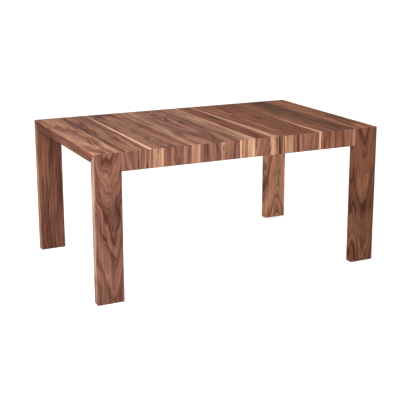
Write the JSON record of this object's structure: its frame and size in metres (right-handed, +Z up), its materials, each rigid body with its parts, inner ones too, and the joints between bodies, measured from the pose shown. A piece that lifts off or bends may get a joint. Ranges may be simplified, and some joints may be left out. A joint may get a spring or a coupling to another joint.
{
  "type": "extending dining table",
  "caption": "Rectangular walnut dining table with wide plank legs and mitred aprons, opened on geared slides for a leaf stored underneath.",
  "frame": {"origin": "on the floor, under the middle of the closed table", "axes": "+X along the table, +Y across it to the back, +Z up"},
  "size_m": [1.6, 1, 0.75],
  "materials": {
    "walnut": "oiled, satin",
    "beech": "planed and sealed",
    "steel": "zinc plated",
    "brass_plate": "brass plated",
    "nylon": "moulded, matt"
  },
  "bodies": {
    "carriage": {"centre_rail_front": "beech", "centre_rail_back": "beech", "cross_bar_left": "beech", "cross_bar_right": "beech", "leaf_runner_front": "beech", "leaf_runner_back": "beech", "pinion_pins": "steel", "carriage_screws": "steel"},
    "left_half": {"cross_rail_dowels_left": "beech", "cross_rail_left": "beech", "end_board_left": "walnut", "fascia_back_left": "walnut", "fascia_front_left": "walnut", "foot_glides_left": "nylon", "frame_bolts_left": "steel", "glue_blocks_left": "beech", "latch_keeper_back_left": "brass_plate", "latch_pivot_front_left": "steel", "leg_back_left": "walnut", "leg_front_left": "walnut", "mitre_tongues_left": "beech", "rack_back_left": "nylon", "rack_front_left": "nylon", "rail_screws_left": "steel", "seam_pins_left": "steel", "slide_rail_back_left": "beech", "slide_rail_front_left": "beech", "stiffener_bars_left": "steel", "stop_block_left": "beech", "top_left": "walnut"},
    "right_half": {"cross_rail_dowels_right": "beech", "cross_rail_right": "beech", "end_board_right": "walnut", "fascia_back_right": "walnut", "fascia_front_right": "walnut", "foot_glides_right": "nylon", "frame_bolts_right": "steel", "glue_blocks_right": "beech", "latch_keeper_front_right": "brass_plate", "latch_pivot_back_right": "steel", "leg_back_right": "walnut", "leg_front_right": "walnut", "mitre_tongues_right": "beech", "rack_back_right": "nylon", "rack_front_right": "nylon", "rail_screws_right": "steel", "seam_pins_right": "steel", "slide_rail_back_right": "beech", "slide_rail_front_right": "beech", "stiffener_bars_right": "steel", "stop_block_right": "beech", "top_right": "walnut"},
    "pinion_front": {"pinion_front": "nylon"},
    "pinion_back": {"pinion_back": "nylon"},
    "leaf": {"leaf": "walnut"},
    "latch_front": {"latch_lever_front_left": "brass_plate"},
    "latch_back": {"latch_lever_back_right": "brass_plate"}
  },
  "joints": [
    {"name": "left_slide", "type": "slide", "parent": "carriage", "child": "left_half", "axis": [-1, 0, 0], "range_m": [0, 0.25]},
    {"name": "right_slide", "type": "slide", "parent": "carriage", "child": "right_half", "axis": [1, 0, 0], "range_m": [0, 0.25]},
    {"name": "pinion_front_spin", "type": "hinge", "parent": "carriage", "child": "pinion_front", "pos_m": [0, -0.302, 0.6985], "axis": [0, 0, 1], "range_deg": [-640, 0]},
    {"name": "pinion_back_spin", "type": "hinge", "parent": "carriage", "child": "pinion_back", "pos_m": [0, 0.302, 0.6985], "axis": [0, 0, 1], "range_deg": [-640, 0]},
    {"name": "leaf_slide", "type": "slide", "parent": "carriage", "child": "leaf", "axis": [-1, 0, 0], "range_m": [0, 1.3]},
    {"name": "latch_front_turn", "type": "hinge", "parent": "left_half", "child": "latch_front", "pos_m": [-0.012, -0.364, 0.7235], "axis": [0, 0, 1], "range_deg": [0, 90]},
    {"name": "latch_back_turn", "type": "hinge", "parent": "right_half", "child": "latch_back", "pos_m": [0.012, 0.364, 0.7235], "axis": [0, 0, 1], "range_deg": [0, 90]}
  ],
  "couplings": [
    {"joint": "right_slide", "follows": "left_slide", "ratio": 1},
    {"joint": "pinion_front_spin", "follows": "left_slide", "rad_per_m": -44.444},
    {"joint": "pinion_back_spin", "follows": "left_slide", "rad_per_m": -44.444}
  ]
}
